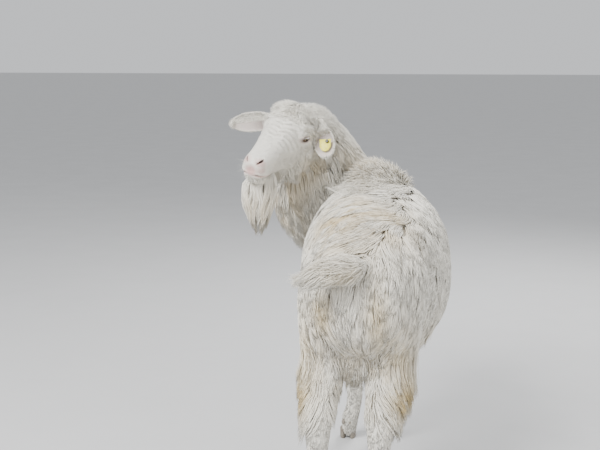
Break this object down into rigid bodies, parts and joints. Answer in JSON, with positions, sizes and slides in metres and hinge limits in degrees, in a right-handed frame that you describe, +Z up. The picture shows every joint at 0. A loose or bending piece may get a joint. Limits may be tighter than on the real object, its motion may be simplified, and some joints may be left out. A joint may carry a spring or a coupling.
{
  "type": "saanen goat",
  "caption": "Life-size still model of a shaggy white bearded goat that stands on cloven feet and looks back over its left shoulder, with a yellow tag in its left ear",
  "frame": {"origin": "on the floor, under the middle of the whole animal's box", "axes": "+Z up, +Y the way the body faces, +X to the animal's right"},
  "size_m": [0.7856, 1.0944, 1.2451],
  "materials": {
    "coat": "long white hair with cream and yellowish locks, matt",
    "ear_skin": "pink skin under short white hair, matt",
    "eye": "dark amber with a level slit pupil, wet and glossy",
    "hoof_horn": "dark horn with fine growth rings, satin",
    "tag_yellow": "moulded yellow plastic, worn, bare of text",
    "tag_black": "moulded black plastic, satin"
  },
  "bodies": {
    "root": {"torso": "coat", "neck": "coat", "head": "coat", "tail": "coat", "fore_leg_left": "coat", "fore_leg_right": "coat", "hind_leg_left": "coat", "hind_leg_right": "coat", "hind_shank_left": "coat", "hind_shank_right": "coat", "ear_left": "ear_skin", "ear_right": "ear_skin", "eye_left": "eye", "eye_right": "eye", "fore_claw_left_inner": "hoof_horn", "fore_claw_left_outer": "hoof_horn", "fore_claw_right_inner": "hoof_horn", "fore_claw_right_outer": "hoof_horn", "hind_claw_left_inner": "hoof_horn", "hind_claw_left_outer": "hoof_horn", "hind_claw_right_inner": "hoof_horn", "hind_claw_right_outer": "hoof_horn", "tag_plate": "tag_yellow", "tag_button": "tag_yellow", "tag_stud": "tag_black"}
  },
  "joints": []
}
